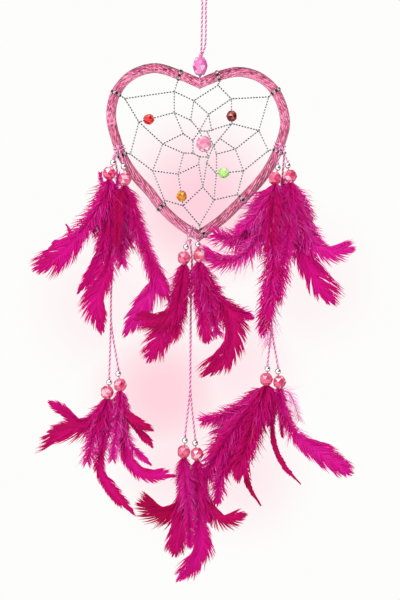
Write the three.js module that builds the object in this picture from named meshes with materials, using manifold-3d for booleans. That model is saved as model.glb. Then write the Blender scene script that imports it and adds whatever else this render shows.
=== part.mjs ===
// Heart dream catcher, in millimetres. X is right, +Z up, and the front faces -Y.
// The origin is the inside top of the hanging loop, where the hook goes.
import * as THREE from "three";
import { mergeVertices } from "three/addons/utils/BufferGeometryUtils.js";
import Module from "manifold-3d";

const wasm = await Module();
wasm.setup();

// ---- driving sizes ----
const HEART_WIDTH = 122.5; // over the wrapped frame
const FRAME_D = 6.5; // frame over its wrapping
const WIRE_D = 3.0; // bare wire inside the wrapping
const CORD_D = 1.4; // pink twisted cord
const THREAD_D = 0.8; // silver web thread
const PINK_BEAD_D = 8.2; // tassel beads
const PINK_BEAD_LENGTH = 8.0;
const SILVER_BEAD_D = 4.0; // balls above the tassel beads
const WEB_BEAD_D = 6.6; // coloured beads on the web
const CENTRE_BEAD_D = 9.6;
const TOP_BEAD_D = 9.0;
const TOP_BEAD_LENGTH = 11.6;
const LOOP_R = 3.6; // inside radius of the hanging loop
const HANG_LENGTH = 49.4; // loop top to the knot above the top bead
const SIDE_DROP = 148; // long cords at the left and right, from the frame to their beads
const MIDDLE_DROP = 132; // long cord at the tip
const FEATHER_THICK = 1.6;
const GAP = 0.3; // air between two pieces that touch in life

const HEART_LEAN = THREE.MathUtils.degToRad(0.5); // clockwise seen from the front
const DEEP = new THREE.Vector3(0, 1, 0);
const UP = new THREE.Vector3(0, 0, 1);
const at = (x, z, y = 0) => new THREE.Vector3(x, y, z);

// ---- finishes ----
const finish = (color, roughness, metalness = 0) =>
  new THREE.MeshStandardMaterial({ color, roughness, metalness });
const cordPink = finish("#dd8ab6", 0.8);
const wrapPink = finish("#c9587f", 0.7);
const steel = finish("#9a9a9e", 0.4, 1);
const thread = finish("#9c9aa0", 0.35, 0.8);
const beadPink = finish("#f9739e", 0.12);
const silver = finish("#d8d8dc", 0.08, 1);
const plume = finish("#c0006c", 0.85);

// ---- joining and cutting ----
function solid(geometry) {
  const g = geometry.clone();
  for (const name of ["normal", "uv"]) g.deleteAttribute(name);
  const merged = mergeVertices(g, 1e-4);
  return new wasm.Manifold(new wasm.Mesh({
    numProp: 3,
    vertProperties: merged.getAttribute("position").array,
    triVerts: new Uint32Array(merged.index.array),
  }));
}

function geometryOf(body) {
  const m = body.getMesh();
  const g = new THREE.BufferGeometry();
  g.setAttribute("position", new THREE.BufferAttribute(new Float32Array(m.vertProperties), 3));
  g.setIndex(new THREE.BufferAttribute(new Uint32Array(m.triVerts), 1));
  return g;
}

const join = (...geometries) =>
  geometryOf(geometries.flat().map(solid).reduce((all, one) => all.add(one)));
const cut = (a, b) => geometryOf(solid(a).subtract(solid(b)));
const common = (a, b) => geometryOf(solid(a).intersect(solid(b)));

function mesh(name, geometry, material) {
  const m = new THREE.Mesh(geometry, material);
  m.name = name;
  return m;
}

// ---- shapes ----
const smooth = (points) => new THREE.CatmullRomCurve3(points, false, "centripetal");

function along(curve, d, sides, steps) {
  const section = new THREE.Shape(
    Array.from({ length: sides }, (_, i) => {
      const a = (2 * Math.PI * (i + 0.5)) / sides;
      return new THREE.Vector2((d / 2) * Math.cos(a), (d / 2) * Math.sin(a));
    }),
  );
  return new THREE.ExtrudeGeometry(section, { steps, extrudePath: curve, bevelEnabled: false });
}

function straight(a, b, d, sides) {
  const g = new THREE.CylinderGeometry(d / 2, d / 2, a.distanceTo(b), sides).rotateY(Math.PI / sides);
  const turn = new THREE.Quaternion().setFromUnitVectors(DEEP, b.clone().sub(a).normalize());
  const middle = a.clone().lerp(b, 0.5);
  return g.applyQuaternion(turn).translate(middle.x, middle.y, middle.z);
}

const knot = (p, r) => new THREE.IcosahedronGeometry(r, 0).translate(p.x, p.y, p.z);

// A bead with rounded ends and an open bore, its axis along Z.
function beadShape(d, length, boreD, segments) {
  const [r, h, bore] = [d / 2, length / 2, boreD / 2];
  const profile = [
    [bore, -h], [0.52 * r, -h], [0.9 * r, -0.5 * h], [r, 0], [0.9 * r, 0.5 * h], [0.52 * r, h],
    [bore, h], [bore, -h],
  ];
  const g = new THREE.LatheGeometry(profile.map(([x, y]) => new THREE.Vector2(x, y)), segments);
  return g.rotateX(Math.PI / 2);
}

// ---- the heart and its group: the origin is the wire's centre at the notch ----
const dreamCatcher = new THREE.Group();
const heart = new THREE.Group();
heart.position.set(-3.7, 0, -HANG_LENGTH - 19.6);
heart.rotation.y = HEART_LEAN;
heart.updateMatrix();
dreamCatcher.add(heart);

const heartScale = (HEART_WIDTH - FRAME_D) / 116;
const onHeart = ([x, z]) => at(x * heartScale, z * heartScale);
const LEFT_HALF = [
  [0, 0], [-13.5, 5.5], [-30.5, 10], [-46.5, 4.5], [-56.5, -8], [-59, -22.5], [-55.5, -38],
  [-51, -49.5], [-43, -61.5], [-32.5, -73], [-25, -82.5], [-12.5, -94], [0, -101.5],
];
const RIGHT_HALF = [
  [0, 0], [12, 5], [26.5, 8], [40.5, 4], [51, -6], [57, -24.5], [54.5, -38], [49, -51.5],
  [42, -62.5], [29, -77], [14, -91.5], [0, -101.5],
];
const leftHalf = smooth(LEFT_HALF.map(onHeart));
const rightHalf = smooth(RIGHT_HALF.map(onHeart));

// One half as a rod, run past both ends and trimmed on the heart's middle plane.
function halfRod(half, side, d, sides) {
  const reach = 2 * FRAME_D;
  const points = half.getSpacedPoints(20);
  const start = half.getPoint(0).addScaledVector(half.getTangent(0), -reach);
  const end = half.getPoint(1).addScaledVector(half.getTangent(1), reach);
  const keep = new THREE.BoxGeometry(200, 60, 300).translate(side * 99.99, 0, -50);
  return common(along(smooth([start, ...points, end]), d, sides, 24), keep);
}
const heartRod = (d, sides) => join(halfRod(leftHalf, -1, d, sides), halfRod(rightHalf, 1, d, sides));
// The wrapping's two ends meet in a narrow seam at the tip.
const seam = new THREE.BoxGeometry(0.5, 40, 40).translate(0, 0, -101.5 * heartScale);
const wrap = cut(cut(heartRod(FRAME_D, 10), heartRod(WIRE_D + 2 * GAP, 6)), seam);
heart.add(mesh("frame_core", heartRod(WIRE_D, 6), steel));
heart.add(mesh("frame_wrap", wrap, wrapPink));

// A ring of cord or thread round the frame, `way` mm down a half from the notch.
function ring(half, way, d) {
  const u = way / half.getLength();
  const g = new THREE.TorusGeometry((FRAME_D + d) / 2 + GAP, d / 2, 4, 12);
  g.applyQuaternion(new THREE.Quaternion().setFromUnitVectors(UP, half.getTangentAt(u)));
  const c = half.getPointAt(u);
  return g.translate(c.x, c.y, c.z);
}

// How far down a half the point nearest to p lies.
function wayTo(half, p) {
  const gaps = half.getSpacedPoints(400).map((q) => q.distanceTo(p));
  return (gaps.indexOf(Math.min(...gaps)) / 400) * half.getLength();
}

// ---- hanging cord, top bead and the tie at the notch ----
const knotAt = at(-3.1, -HANG_LENGTH);
const loopR = LOOP_R + CORD_D / 2;
const beside = CORD_D / 2 + 0.1;
const hangingPath = smooth([
  at(knotAt.x - beside, knotAt.z), at(knotAt.x - beside, -40), at(-2.6, -25), at(-2.2, -14),
  at(-0.86 * loopR, -LOOP_R - 0.6 * loopR), at(-loopR, -LOOP_R),
  at(-0.7 * loopR, -LOOP_R + 0.7 * loopR), at(0, loopR - LOOP_R),
  at(0.7 * loopR, -LOOP_R + 0.7 * loopR), at(loopR, -LOOP_R),
  at(0.86 * loopR, -LOOP_R - 0.6 * loopR), at(0.6, -14), at(-0.4, -25),
  at(knotAt.x + beside, -40), at(knotAt.x + beside, knotAt.z),
]);
dreamCatcher.add(
  mesh("hanging_cord", join(along(hangingPath, CORD_D, 8, 36), knot(knotAt, 1.7)), cordPink),
);

const topBead = mesh("top_bead", beadShape(TOP_BEAD_D, TOP_BEAD_LENGTH, CORD_D + 1.2, 10),
  finish("#f472c8", 0.12));
topBead.position.set(-3.6, 0, -HANG_LENGTH - 2.1 - TOP_BEAD_LENGTH / 2);
dreamCatcher.add(topBead);

const tieRing = new THREE.TorusGeometry(FRAME_D / 2 + CORD_D / 2 + 0.9, CORD_D / 2, 5, 14);
const tieEnd = straight(at(0, FRAME_D / 2 + 1.4), at(0, 11.5), CORD_D, 5);
heart.add(mesh("top_tie", join(tieRing.rotateY(Math.PI / 2), tieEnd), cordPink));

// ---- web: knots in the heart's own plane, mm from the notch ----
// Where the thread goes round the frame, the way its lead runs from there in degrees, and the
// lead's length from the frame's surface to its knot.
const ANCHORS = {
  n1: [-56, -7, -30, 3.7], n2: [-13.5, 5.5, -108, 8.3], n3: [12, 5, -90, 2.8],
  n4: [51, -5, -145, 2.9], n5: [51, -45, 174, 1.8], n6: [29, -76.5, 144, 1.1],
  n7: [2.8, -99.6, 114, 2.3], n8: [-25, -82, 63, 1.2], n9: [-51, -48, 6, 1.8],
};
const KNOTS = {
  // first round
  m1: [-4, -11.5], m2: [21, -10], m3: [39.5, -31], m4: [29.5, -58], m5: [10, -77.5],
  m6: [-10.5, -81.5], m7: [-31, -58.5], m8: [-40.5, -26],
  // second round
  p1: [-17, -19.5], p2: [6, -20.5], p3: [21.5, -26.5], p4: [24, -43.5], p5: [11.5, -60],
  p6: [2.5, -69], p7: [-14, -60.5], p8: [-24.5, -40.5],
  // third round
  q1: [-6, -24.5], q2: [8, -31], q3: [13.5, -36.5], q4: [11.5, -47], q5: [5, -53],
  q6: [-0.5, -54], q7: [-10.5, -46.5], q8: [-11, -33.5],
  // the ring round the middle bead
  r1: [0, -31.5], r2: [5, -31.8], r3: [9.5, -41.5], r4: [6, -49], r5: [0, -48.8],
  r6: [-4.2, -46.5], r7: [-4.4, -38],
};
const STRANDS = `
  n1-n2 n2-m1 m1-n3 n3-m2 m2-n4 n4-m3 m3-n5 n5-m4 m4-n6 n6-m5 m5-n7 n7-m6 m6-n8 n8-m7 m7-n9 n9-m8 m8-n1
  n2-p1 m8-p1 p1-q1 p1-q8 m1-q1 m1-p2 p2-m2 p2-r1 p2-q2 q1-r1 m2-p3 p3-q2 p3-m3 p3-q3 q2-r2 q3-r3 q3-p4
  p4-m3 p4-m4 p4-q4 q4-r3 q4-p5 p5-q5 p5-m4 p5-m5 m5-p6 p6-m6 p6-q5 p6-q6 q6-p7 p7-m7 p7-m6 p7-q7 q7-p8
  q7-r6 p8-m7 p8-m8 p8-q8 q8-r7 q5-r4 q6-r5 r1-r2 r2-r3 r3-r4 r4-r5 r5-r6 r6-r7 r7-r1 r1-r4`;
for (const [name, [x, z, angle, lead]] of Object.entries(ANCHORS)) {
  const a = THREE.MathUtils.degToRad(angle);
  const reach = FRAME_D / 2 + lead;
  KNOTS[name] = [x + reach * Math.cos(a), z + reach * Math.sin(a)];
}
const knotPoint = (name) => onHeart(KNOTS[name]);
const webPieces = STRANDS.trim().split(/\s+/).map((pair) => {
  const [a, b] = pair.split("-").map(knotPoint);
  return straight(a, b, THREAD_D, 4);
});
for (const name of Object.keys(KNOTS)) {
  const p = knotPoint(name);
  const k = 1.3 * THREAD_D;
  webPieces.push(new THREE.BoxGeometry(k, k, k).rotateY(0.6).translate(p.x, p.y, p.z));
}
for (const [name, place] of Object.entries(ANCHORS)) {
  const half = place[0] < 0 ? leftHalf : rightHalf;
  const way = wayTo(half, onHeart(place));
  const centre = half.getPointAt(way / half.getLength());
  const run = half.getTangentAt(way / half.getLength());
  const inner = knotPoint(name).sub(centre).projectOnPlane(run).normalize();
  const edge = centre.addScaledVector(inner, FRAME_D / 2 + GAP + THREAD_D / 2);
  webPieces.push(ring(half, way, THREAD_D), straight(edge, knotPoint(name), THREAD_D, 4));
}
heart.add(mesh("web", join(webPieces), thread));

// Beads threaded on a strand, `part` of the way from one knot to the other.
function webBead(name, from, to, part, d, color) {
  const a = knotPoint(from);
  const b = knotPoint(to);
  const m = mesh(name, beadShape(d, 0.92 * d, THREAD_D + 0.7, 10), finish(color, 0.1));
  m.position.lerpVectors(a, b, part);
  m.quaternion.setFromUnitVectors(UP, b.sub(a).normalize());
  heart.add(m);
}
webBead("bead_red", "m8", "p1", 0.28, WEB_BEAD_D, "#d8101e");
webBead("bead_garnet", "m2", "p3", 0.7, WEB_BEAD_D, "#8e1c18");
webBead("bead_green", "p5", "m4", 0.27, WEB_BEAD_D, "#b6f07c");
webBead("bead_orange", "p7", "m6", 0.7, WEB_BEAD_D, "#e08a14");
webBead("bead_centre", "r1", "r4", 0.5, CENTRE_BEAD_D, "#f29ac0");

// ---- feathers ----
const swell = (t) => 0.12 + 0.88 * Math.sin(Math.PI * (0.06 + 0.88 * t ** 0.75)) ** 0.8;

// One flat feather through the points, [x, z] from the root, its face towards the front.
function feather(points, width, y) {
  const path = new THREE.SplineCurve([[0, 0], ...points].map(([x, z]) => new THREE.Vector2(x, z)));
  const steps = 7;
  const [oneEdge, otherEdge] = [[], []];
  for (let i = 0; i <= steps; i++) {
    const p = path.getPointAt(i / steps);
    const t = path.getTangentAt(i / steps);
    const half = (width / 2) * swell(i / steps);
    oneEdge.push(new THREE.Vector2(p.x - t.y * half, p.y + t.x * half));
    otherEdge.unshift(new THREE.Vector2(p.x + t.y * half, p.y - t.x * half));
  }
  const blade = new THREE.ExtrudeGeometry(new THREE.Shape([...oneEdge, ...otherEdge]), {
    depth: FEATHER_THICK, bevelEnabled: false,
  });
  return blade.rotateX(Math.PI / 2).translate(0, y + FEATHER_THICK / 2, 0);
}

// A silver ball, a pink bead and a bunch of feathers, placed by the ball's centre.
function tassel(name, ball, x, slack, feathers) {
  const z = -(SILVER_BEAD_D + PINK_BEAD_LENGTH) / 2 - slack;
  const group = new THREE.Group();
  group.position.copy(ball);
  const silverBead = mesh(name + "_silver_bead",
    beadShape(SILVER_BEAD_D, SILVER_BEAD_D, 1, 7), silver);
  const pinkBead = mesh(name + "_pink_bead",
    beadShape(PINK_BEAD_D, PINK_BEAD_LENGTH, 1.4, 8), beadPink);
  pinkBead.position.set(x, 0, z);
  const quills = straight(at(0, 1.2), at(0, -4), 3.2, 6);
  const plumes = mesh(name + "_feathers", join(quills, feathers.map((f) => feather(...f))), plume);
  plumes.position.set(x, 0, z - PINK_BEAD_LENGTH / 2 - GAP - 1.2);
  group.add(silverBead, pinkBead, plumes);
  dreamCatcher.add(group);
}

// ---- the three places where tassels are tied; each pair is given left, right ----
// way is how far down its half the long cord's ring is. balls are from the tie, drop and the low
// balls from the long cord's ends. middle is the x between two pink beads, and slack the bare
// thread above each one.
const besideThread = (THREAD_D + CORD_D) / 2 + 2.2;
const sites = [
  {
    name: "left", half: leftHalf, way: wayTo(leftHalf, onHeart(ANCHORS.n9)) - besideThread,
    balls: [[-3.5, -10.5], [3.5, -13.1]], middle: -0.9, slack: [1.0, 2.4],
    drop: [[1.8, -13.8], [0.3, -54.8], [-2.1, -91.8]], length: SIDE_DROP, endX: -0.9,
    lowBalls: [[-2.6, -5.2], [3.5, 0.6]], lowMiddle: 0.4, lowSlack: [0.6, 1.6],
    upper: [
      [[[[-7, -22], [-22, -48], [-43, -61]], 13, 0], [[[-3, -30], [-6, -62], [-4.5, -98]], 11, 1],
        [[[-10, -22], [-17, -34], [-22, -44]], 9, -1]],
      [[[[1, -20], [4.5, -44], [3, -70], [1.5, -98]], 7, 0], [[[5, -14], [7, -30], [6.5, -52]], 6, 1]],
    ],
    lower: [
      [[[[-6, -20], [-20, -30], [-43, -28]], 12, 0], [[[-3, -32], [-5, -56], [-6, -76]], 11, 1],
        [[[-10, -18], [-24, -40], [-35, -47]], 9, -1]],
      [[[[0.5, -24], [2, -50], [6, -80]], 8, 0], [[[5, -12], [8, -26], [8, -44]], 6, 1]],
    ],
  },
  {
    name: "bottom", half: leftHalf, way: leftHalf.getLength() - 3.9 - CORD_D / 2,
    balls: [[-2.5, -11.0], [5.3, -9.4]], middle: 1.2, slack: [1.2, 1.2],
    drop: [[1.3, -12.4], [0.7, -43.4], [0.5, -73.4]], length: MIDDLE_DROP, endX: 0.2,
    lowBalls: [[-3.4, -3.6], [3.4, -5.2]], lowMiddle: 0.2, lowSlack: [1.4, 1.4],
    upper: [
      [[[[-3, -20], [-10, -42], [-22, -60]], 12, 0], [[[-6, -14], [-17, -30], [-27, -40]], 8, -1]],
      [[[[2, -22], [5, -46], [8, -68]], 9, 0], [[[4, -14], [10.5, -26], [11.5, -42]], 7, 1]],
    ],
    lower: [
      [[[[-3, -20], [-12, -26], [-28, -27]], 9, 0], [[[-1, -24], [-1.5, -50], [-2, -79]], 9, 1],
        [[[-5, -24], [-8, -42], [-7, -62]], 8, -1]],
      [[[[1.5, -22], [4, -46], [1, -72]], 9, 0], [[[5, -14], [10, -24], [13, -38]], 7, 1]],
    ],
  },
  {
    name: "right", half: rightHalf, way: wayTo(rightHalf, onHeart(ANCHORS.n5)) - besideThread,
    balls: [[-1.7, -15.7], [4.8, -14.2]], middle: 1.5, slack: [1.2, 1.2],
    drop: [[-1.4, -18.9], [-4.3, -56.9], [-8.5, -99.9]], length: SIDE_DROP - 3.5, endX: -8.1,
    lowBalls: [[-3.2, -1.6], [3.8, -3.4]], lowMiddle: 0.4, lowSlack: [1.0, 1.0],
    upper: [
      [[[[-6, -16], [-16, -30], [-29, -42]], 11, 0], [[[-2.5, -28], [-5.5, -56], [-8.5, -98]], 8, 1],
        [[[-5, -20], [-12, -42], [-18, -66]], 9, -1]],
      [[[[3, -22], [16, -38], [38, -44]], 13, 0], [[[1.5, -28], [4, -52], [3, -80]], 10, 1],
        [[[5, -20], [16, -44], [33, -68]], 11, -1]],
    ],
    lower: [
      [[[[-5, -14], [-14, -26], [-23, -34]], 12, 0], [[[-2, -26], [-4, -50], [-7, -80]], 9, 1],
        [[[-6, -22], [-12, -44], [-20, -62]], 10, -1]],
      [[[[3, -18], [16, -38], [47, -58]], 12, 0], [[[2, -26], [6, -46], [12, -62]], 8, 1],
        [[[5, -12], [16, -22], [32, -26]], 9, -1]],
    ],
  },
];

const FRONT = -(FRAME_D / 2 + GAP + CORD_D + 1.3); // short tassels hang in front of the frame
const BACK = 1.6; // the long cord hangs behind them
const EYE_R = 1.2; // knot at the long cord's top, which turns under its hitch
const top = (ball) => ball.clone().add(at(0, SILVER_BEAD_D / 2 + GAP));
const endKnot = (ball) => knot(top(ball).add(at(0, 0.9)), 0.95);
const plus = (p, [x, z]) => p.clone().add(at(x, z));

for (const s of sites) {
  const longWay = s.way;
  const shortWay = s.way - 1.5 * CORD_D;
  const onFrame = (way) => s.half.getPointAt(way / s.half.getLength());

  // Two short tassels on one doubled cord, knotted on the frame's front.
  const tie = onFrame(shortWay).applyMatrix4(heart.matrix).setY(FRONT);
  const balls = s.balls.map((p) => plus(tie, p));
  dreamCatcher.add(mesh(s.name + "_upper_cord", join(
    ring(s.half, shortWay, CORD_D).applyMatrix4(heart.matrix),
    knot(tie.clone().setY(FRONT + 0.3), 1.5),
    balls.map((b) => straight(tie, top(b).add(at(0, CORD_D / 3)), CORD_D, 5)),
    balls.map(endKnot),
  ), cordPink));

  // Two more at the end of a long doubled cord, from the underside of its hitch.
  heart.add(mesh(s.name + "_hitch", ring(s.half, longWay, CORD_D), cordPink));
  const down = s.half.getTangentAt(longWay / s.half.getLength()).cross(DEEP).normalize();
  if (down.z > 0) down.negate();
  const ringR = (FRAME_D + CORD_D) / 2 + GAP;
  const start = onFrame(longWay).addScaledVector(down, Math.sqrt(ringR ** 2 - BACK ** 2));
  start.applyMatrix4(heart.matrix).setY(BACK);
  const eye = plus(start, [0, -(CORD_D / 2 + GAP + EYE_R)]);
  const end = plus(start, [s.endX, -s.length]);
  const split = plus(end, [0, 6]);
  const lowBalls = s.lowBalls.map((p) => plus(end, p));
  const plies = lowBalls.map((ball, i) => {
    const ply = new THREE.Vector3(i ? 0.1 : -0.1, (i ? -CORD_D : CORD_D) / 2, 0);
    const points = [...s.drop.map((p) => plus(start, p)), split].map((p) => p.add(ply));
    return along(smooth([eye, ...points, top(ball).add(at(0, CORD_D / 3))]), CORD_D, 8, 14);
  });
  dreamCatcher.add(mesh(s.name + "_drop_cord", join(
    knot(eye, EYE_R), plies, knot(split, 1.5), lowBalls.map(endKnot),
  ), cordPink));

  // The long cord has room to pass between the upper pair, and the lower pair swing side by side.
  const apart = (PINK_BEAD_D + CORD_D) / 2 + GAP;
  const lowApart = (PINK_BEAD_D + 2 * GAP) / 2;
  ["a", "b"].forEach((side, i) => {
    const x = s.middle + (i ? apart : -apart) - s.balls[i][0];
    const lowX = s.lowMiddle + (i ? lowApart : -lowApart) - s.lowBalls[i][0];
    tassel(s.name + "_upper_" + side, balls[i], x, s.slack[i], s.upper[i]);
    tassel(s.name + "_lower_" + side, lowBalls[i], lowX, s.lowSlack[i], s.lower[i]);
  });
}

export default dreamCatcher;
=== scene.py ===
# A pink heart dream catcher: a wrapped wire heart with a silver thread web, hung from a twisted cord,
# with three pairs of short tassels and three long cords that end in more tassels.
# The row frame is in metres, +Z up, and the front faces -Y. Routes are written in millimetres.
import math
import random

import bmesh
import bpy
import numpy as np
from mathutils import Matrix, Vector


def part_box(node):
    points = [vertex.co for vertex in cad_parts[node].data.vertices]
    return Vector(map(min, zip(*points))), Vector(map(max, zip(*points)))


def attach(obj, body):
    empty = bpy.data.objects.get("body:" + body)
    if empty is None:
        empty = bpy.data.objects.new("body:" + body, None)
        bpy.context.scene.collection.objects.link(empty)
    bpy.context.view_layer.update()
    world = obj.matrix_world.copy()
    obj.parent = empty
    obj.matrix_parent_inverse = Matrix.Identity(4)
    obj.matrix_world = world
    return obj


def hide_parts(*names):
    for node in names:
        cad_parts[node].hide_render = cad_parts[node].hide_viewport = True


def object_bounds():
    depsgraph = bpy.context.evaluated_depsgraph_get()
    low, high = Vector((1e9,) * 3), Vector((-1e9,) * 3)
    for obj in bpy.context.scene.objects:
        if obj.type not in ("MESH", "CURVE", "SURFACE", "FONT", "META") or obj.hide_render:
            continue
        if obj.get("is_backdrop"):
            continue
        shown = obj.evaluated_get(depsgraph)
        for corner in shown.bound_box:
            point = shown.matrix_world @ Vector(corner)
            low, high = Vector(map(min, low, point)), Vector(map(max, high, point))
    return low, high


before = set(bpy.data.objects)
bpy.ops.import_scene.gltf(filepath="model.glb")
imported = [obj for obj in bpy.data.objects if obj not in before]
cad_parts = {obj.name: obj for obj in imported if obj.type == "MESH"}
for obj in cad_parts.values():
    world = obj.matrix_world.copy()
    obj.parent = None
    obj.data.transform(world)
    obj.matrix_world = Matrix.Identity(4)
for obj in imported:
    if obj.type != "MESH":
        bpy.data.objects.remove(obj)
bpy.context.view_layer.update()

# ---- studio ----
# The catcher hangs in front of a white card, far enough for the tassels to swing, over a pale
# floor. A long lens looks at it square on. Big soft boxes light it from above, below and behind.
MM = 0.001
VIEW_HEIGHT = 400 * MM
VIEW_CENTRE = Vector((-3.667, 0, -213.33)) * MM
LENS_AWAY = 1.5
SENSOR = 36  # mm, the camera's sensor along its longer side


def add(tree, kind, inputs=None, **settings):
    """A node with its settings, and its sockets set to a value or linked to another socket."""
    node = tree.nodes.new(kind)
    for name, value in settings.items():
        setattr(node, name, value)
    for socket, value in (inputs or {}).items():
        if isinstance(value, bpy.types.NodeSocket):
            tree.links.new(value, node.inputs[socket])
        else:
            node.inputs[socket].default_value = value
    return node


def linear(code, alpha=1.0):
    """An sRGB hex colour as linear RGBA."""
    parts = [int(code[i:i + 2], 16) / 255 for i in (1, 3, 5)]
    return (*[c / 12.92 if c <= 0.04045 else ((c + 0.055) / 1.055) ** 2.4 for c in parts], alpha)


def put(name, data):
    """A new object at the origin, holding that mesh, curve, lamp or camera."""
    piece = bpy.data.objects.new(name, data)
    bpy.context.scene.collection.objects.link(piece)
    return piece


camera = bpy.data.cameras.new("camera")
camera.lens = SENSOR * LENS_AWAY / VIEW_HEIGHT
camera.clip_end = 20
stand = put("camera", camera)
stand.location = VIEW_CENTRE - Vector((0, LENS_AWAY, 0))
stand.rotation_euler = (math.pi / 2, 0, 0)
bpy.context.scene.camera = stand
bpy.context.scene.view_settings.view_transform = "Standard"  # dyed colours stay as they are

# White card and floor. The card glows softly, and pink spots are painted on it as painted light, standing for
# the light that the dyed plumes colour pink.
PAINTED_PINK_GLOW = [
    # x, z, radius in mm, strength
    (-5, -140, 62, 1.0), (-22, -205, 30, 0.55), (22, -170, 34, 0.5), (-32, -285, 52, 0.95),
    (22, -262, 48, 0.5), (78, -200, 50, 0.25), (25, -345, 50, 0.45), (-75, -215, 55, 0.3),
    (-20, -340, 48, 0.5),
]
card = bpy.data.materials.new("white_backdrop_card")
card.use_nodes = True
tree = card.node_tree
tree.nodes.clear()
place = add(tree, "ShaderNodeTexCoord").outputs["Object"]
pink = None
# Each spot is painted pink bounce light, strongest at its centre and fading out at one and a half radii.
for x, z, radius, strength in PAINTED_PINK_GLOW:
    spot = add(tree, "ShaderNodeMapping", {
        "Vector": place, "Location": (-x / radius, 0, -z / radius),
        "Scale": (1 / (radius * MM), 0.0, 1 / (radius * MM)),
    })
    far = add(tree, "ShaderNodeVectorMath", {0: spot.outputs[0]}, operation="LENGTH")
    soft = add(tree, "ShaderNodeMapRange", {
        "Value": far.outputs["Value"], "From Min": 1.5, "From Max": 0.0, "To Max": strength,
    }, interpolation_type="SMOOTHERSTEP")
    pink = soft.outputs[0] if pink is None else add(
        tree, "ShaderNodeMath", {0: pink, 1: soft.outputs[0]}, operation="MAXIMUM").outputs[0]
tint = add(tree, "ShaderNodeMix", {
    "Factor": pink, "A": linear("#fdfdfb"), "B": linear("#ffd2de"),
}, data_type="RGBA")
dimmed = add(tree, "ShaderNodeMapRange", {  # shiny beads see it dim, so that they keep their dark sides
    "Value": add(tree, "ShaderNodeLightPath").outputs["Is Glossy Ray"], "To Min": 1.0, "To Max": 0.25})
glow = add(tree, "ShaderNodeEmission", {"Color": tint.outputs["Result"], "Strength": dimmed.outputs[0]})
behind = add(tree, "ShaderNodeMixShader", {
    0: add(tree, "ShaderNodeNewGeometry").outputs["Backfacing"], 1: glow.outputs[0],
    2: add(tree, "ShaderNodeBsdfTransparent").outputs[0],
})
add(tree, "ShaderNodeOutputMaterial", {"Surface": behind.outputs[0]})

paper = bpy.data.materials.new("pale_matt_floor")
paper.use_nodes = True
floor_tree = paper.node_tree
floor_shader = floor_tree.nodes["Principled BSDF"]
floor_shader.inputs["Roughness"].default_value = 0.9
mottle = add(floor_tree, "ShaderNodeTexNoise", {
    "Vector": add(floor_tree, "ShaderNodeTexCoord").outputs["Object"], "Scale": 12.0})
floor_tree.links.new(
    add(floor_tree, "ShaderNodeMix", {
        "Factor": mottle.outputs[0], "A": linear("#f4f1f2"), "B": linear("#faf8f8"),
    }, data_type="RGBA").outputs["Result"], floor_shader.inputs["Base Color"])


def flat_sheet(name, placed, width, height, material):
    """A flat sheet of the studio, such as the card or the floor."""
    bm = bmesh.new()
    stretched = placed @ Matrix.Diagonal((width, height, 1, 1))
    bmesh.ops.create_grid(bm, x_segments=1, y_segments=1, size=0.5, matrix=stretched)
    mesh = bpy.data.meshes.new(name)
    bm.to_mesh(mesh)
    bm.free()
    mesh.materials.append(material)
    put(name, mesh)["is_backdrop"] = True


upright = Matrix.Rotation(math.pi / 2, 4, "X")
flat_sheet("backdrop", Matrix.Translation((0, 0.24, -0.2)) @ upright, 4, 3, card)
flat_sheet("floor", Matrix.Translation((0, -0.5, -0.52)), 5, 4, paper)

for name, where, size, power in [  # metres and watts
    ("soft_box_above", (-0.5, -0.9, 0.5), 0.7, 9),
    ("soft_box_below", (0.35, -1.0, -0.85), 0.6, 9),
    ("soft_box_back", (0.2, 0.9, 0.3), 0.8, 6),
]:
    lamp = bpy.data.lights.new(name, "AREA")
    lamp.shape, lamp.size, lamp.energy = "SQUARE", size, power
    box = put(name, lamp)
    box.location = where
    box.rotation_euler = (VIEW_CENTRE - Vector(where)).to_track_quat("-Z", "Y").to_euler()

# The room is bright all round. What shines sees a bright upper left and a dark lower right in it,
# so that chrome shows both black and white.
room = bpy.data.worlds.new("studio")
bpy.context.scene.world = room
room.use_nodes = True
tree = room.node_tree
tree.nodes.clear()
bright_side = add(tree, "ShaderNodeVectorMath", {
    0: add(tree, "ShaderNodeTexCoord").outputs["Generated"], 1: (-0.55, 0.3, 0.78)}, operation="DOT_PRODUCT")
front = add(tree, "ShaderNodeMapRange", {
    "Value": bright_side.outputs["Value"], "From Min": 0.0, "From Max": 0.25, "To Min": 0.01, "To Max": 1.4})
seen = add(tree, "ShaderNodeMix", {
    "Factor": add(tree, "ShaderNodeLightPath").outputs["Is Glossy Ray"],
    "A": 1.0, "B": front.outputs[0]})
add(tree, "ShaderNodeOutputWorld", {"Surface": add(
    tree, "ShaderNodeBackground", {"Color": seen.outputs["Result"], "Strength": 0.93}).outputs[0]})

# ---- hanging cord ----
# A doubled length of pink rayon cord, two plies twisted together, over the hook and down to one
# knot above the top bead. The loop on the hook is 7 mm across inside.
CORD_D = 1.4 * MM
CORD_PITCH = 3.0 * MM  # one turn of a ply
CORD_STEP = 0.35  # mm from point to point along a cord's route
PLY_SWELL = 1.08  # plies press into each other
# The cord is one pink all through. Its first ply is painted darker, as painted shade for the grooves between
# the plies.
PLY_COLOURS_WITH_PAINTED_SHADE = ("#bc5288", "#f4b4d6")


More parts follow.
